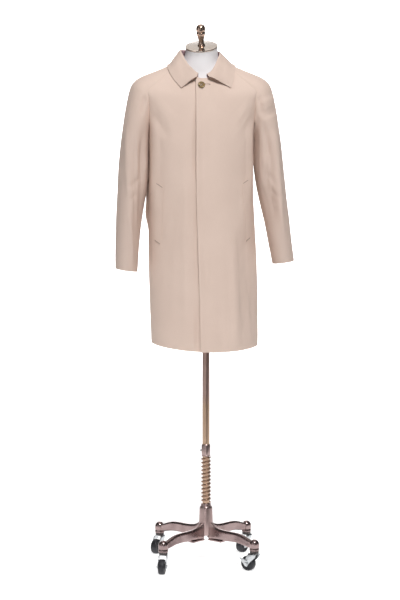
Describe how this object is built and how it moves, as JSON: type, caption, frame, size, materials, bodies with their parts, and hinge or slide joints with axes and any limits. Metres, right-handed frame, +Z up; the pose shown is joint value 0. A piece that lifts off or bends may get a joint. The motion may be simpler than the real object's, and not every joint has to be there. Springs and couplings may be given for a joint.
{
  "type": "raglan overcoat on a dress form stand",
  "caption": "Knee-length raglan overcoat with a turned-down collar and fly front on a limbless dress form, carried by a sprung pole on a castor base.",
  "frame": {"origin": "on the floor under the middle of the part's bounding box", "axes": "+Z up; the coat faces -Y, so +X points to the wearer's left; the pole stands at x 0.0065, y 0.0150"},
  "size_m": [0.605, 0.3762, 1.8308],
  "materials": {
    "gabardine": "matte twill",
    "horn": "polished horn",
    "jersey": "stretched jersey over a light shell",
    "champagne": "polished plating",
    "bronze": "bronze plating",
    "rose_bronze": "rose bronze plating",
    "zinc": "zinc plating",
    "dark_steel": "blackened",
    "rubber": "matte"
  },
  "bodies": {
    "base": {"hub": "rose_bronze", "leg_front_left": "rose_bronze", "leg_front_right": "rose_bronze", "leg_back_left": "rose_bronze", "leg_back_right": "rose_bronze", "castor_seat_front_left": "dark_steel", "castor_seat_front_right": "dark_steel", "castor_seat_back_left": "dark_steel", "castor_seat_back_right": "dark_steel", "spring": "bronze"},
    "dressed_form": {"pole": "bronze", "stop_collar": "bronze", "set_screw": "bronze", "form": "jersey", "neck_cap": "champagne", "finial": "champagne", "button": "horn", "front_left": "gabardine", "front_right": "gabardine", "back": "gabardine", "sleeve_left": "gabardine", "sleeve_right": "gabardine", "collar": "gabardine", "welt_left": "gabardine", "welt_right": "gabardine"},
    "castor_front_left": {"castor_fork_front_left": "zinc", "castor_axle_front_left": "zinc", "castor_brake_front_left": "zinc"},
    "wheel_front_left": {"castor_wheel_front_left": "rubber"},
    "castor_front_right": {"castor_fork_front_right": "zinc", "castor_axle_front_right": "zinc"},
    "wheel_front_right": {"castor_wheel_front_right": "rubber"},
    "castor_back_left": {"castor_fork_back_left": "zinc", "castor_axle_back_left": "zinc"},
    "wheel_back_left": {"castor_wheel_back_left": "rubber"},
    "castor_back_right": {"castor_fork_back_right": "zinc", "castor_axle_back_right": "zinc"},
    "wheel_back_right": {"castor_wheel_back_right": "rubber"}
  },
  "joints": [
    {"name": "height", "type": "slide", "parent": "base", "child": "dressed_form", "axis": [0, 0, 1], "range_m": [-0.09, 0], "stiffness_N_per_m": 1800, "springref_m": 0.09, "deforming": ["spring"]},
    {"name": "swivel_front_left", "type": "hinge", "parent": "base", "child": "castor_front_left", "pos_m": [0.15959, -0.13809, 0.0627], "axis": [0, 0, 1], "continuous": true},
    {"name": "roll_front_left", "type": "hinge", "parent": "castor_front_left", "child": "wheel_front_left", "pos_m": [0.1412, -0.12266, 0.0255], "axis": [0.6428, 0.766, 0], "continuous": true},
    {"name": "swivel_front_right", "type": "hinge", "parent": "base", "child": "castor_front_right", "pos_m": [-0.14659, -0.13809, 0.0627], "axis": [0, 0, 1], "continuous": true},
    {"name": "roll_front_right", "type": "hinge", "parent": "castor_front_right", "child": "wheel_front_right", "pos_m": [-0.15199, -0.16147, 0.0255], "axis": [-0.9744, 0.225, 0], "continuous": true},
    {"name": "swivel_back_left", "type": "hinge", "parent": "base", "child": "castor_back_left", "pos_m": [0.15959, 0.16809, 0.0627], "axis": [0, 0, 1], "continuous": true},
    {"name": "roll_back_left", "type": "hinge", "parent": "castor_back_left", "child": "wheel_back_left", "pos_m": [0.14353, 0.15025, 0.0255], "axis": [-0.7431, 0.6691, 0], "continuous": true},
    {"name": "swivel_back_right", "type": "hinge", "parent": "base", "child": "castor_back_right", "pos_m": [-0.14659, 0.16809, 0.0627], "axis": [0, 0, 1], "continuous": true},
    {"name": "roll_back_right", "type": "hinge", "parent": "castor_back_right", "child": "wheel_back_right", "pos_m": [-0.15931, 0.14774, 0.0255], "axis": [-0.848, 0.5299, 0], "continuous": true}
  ]
}
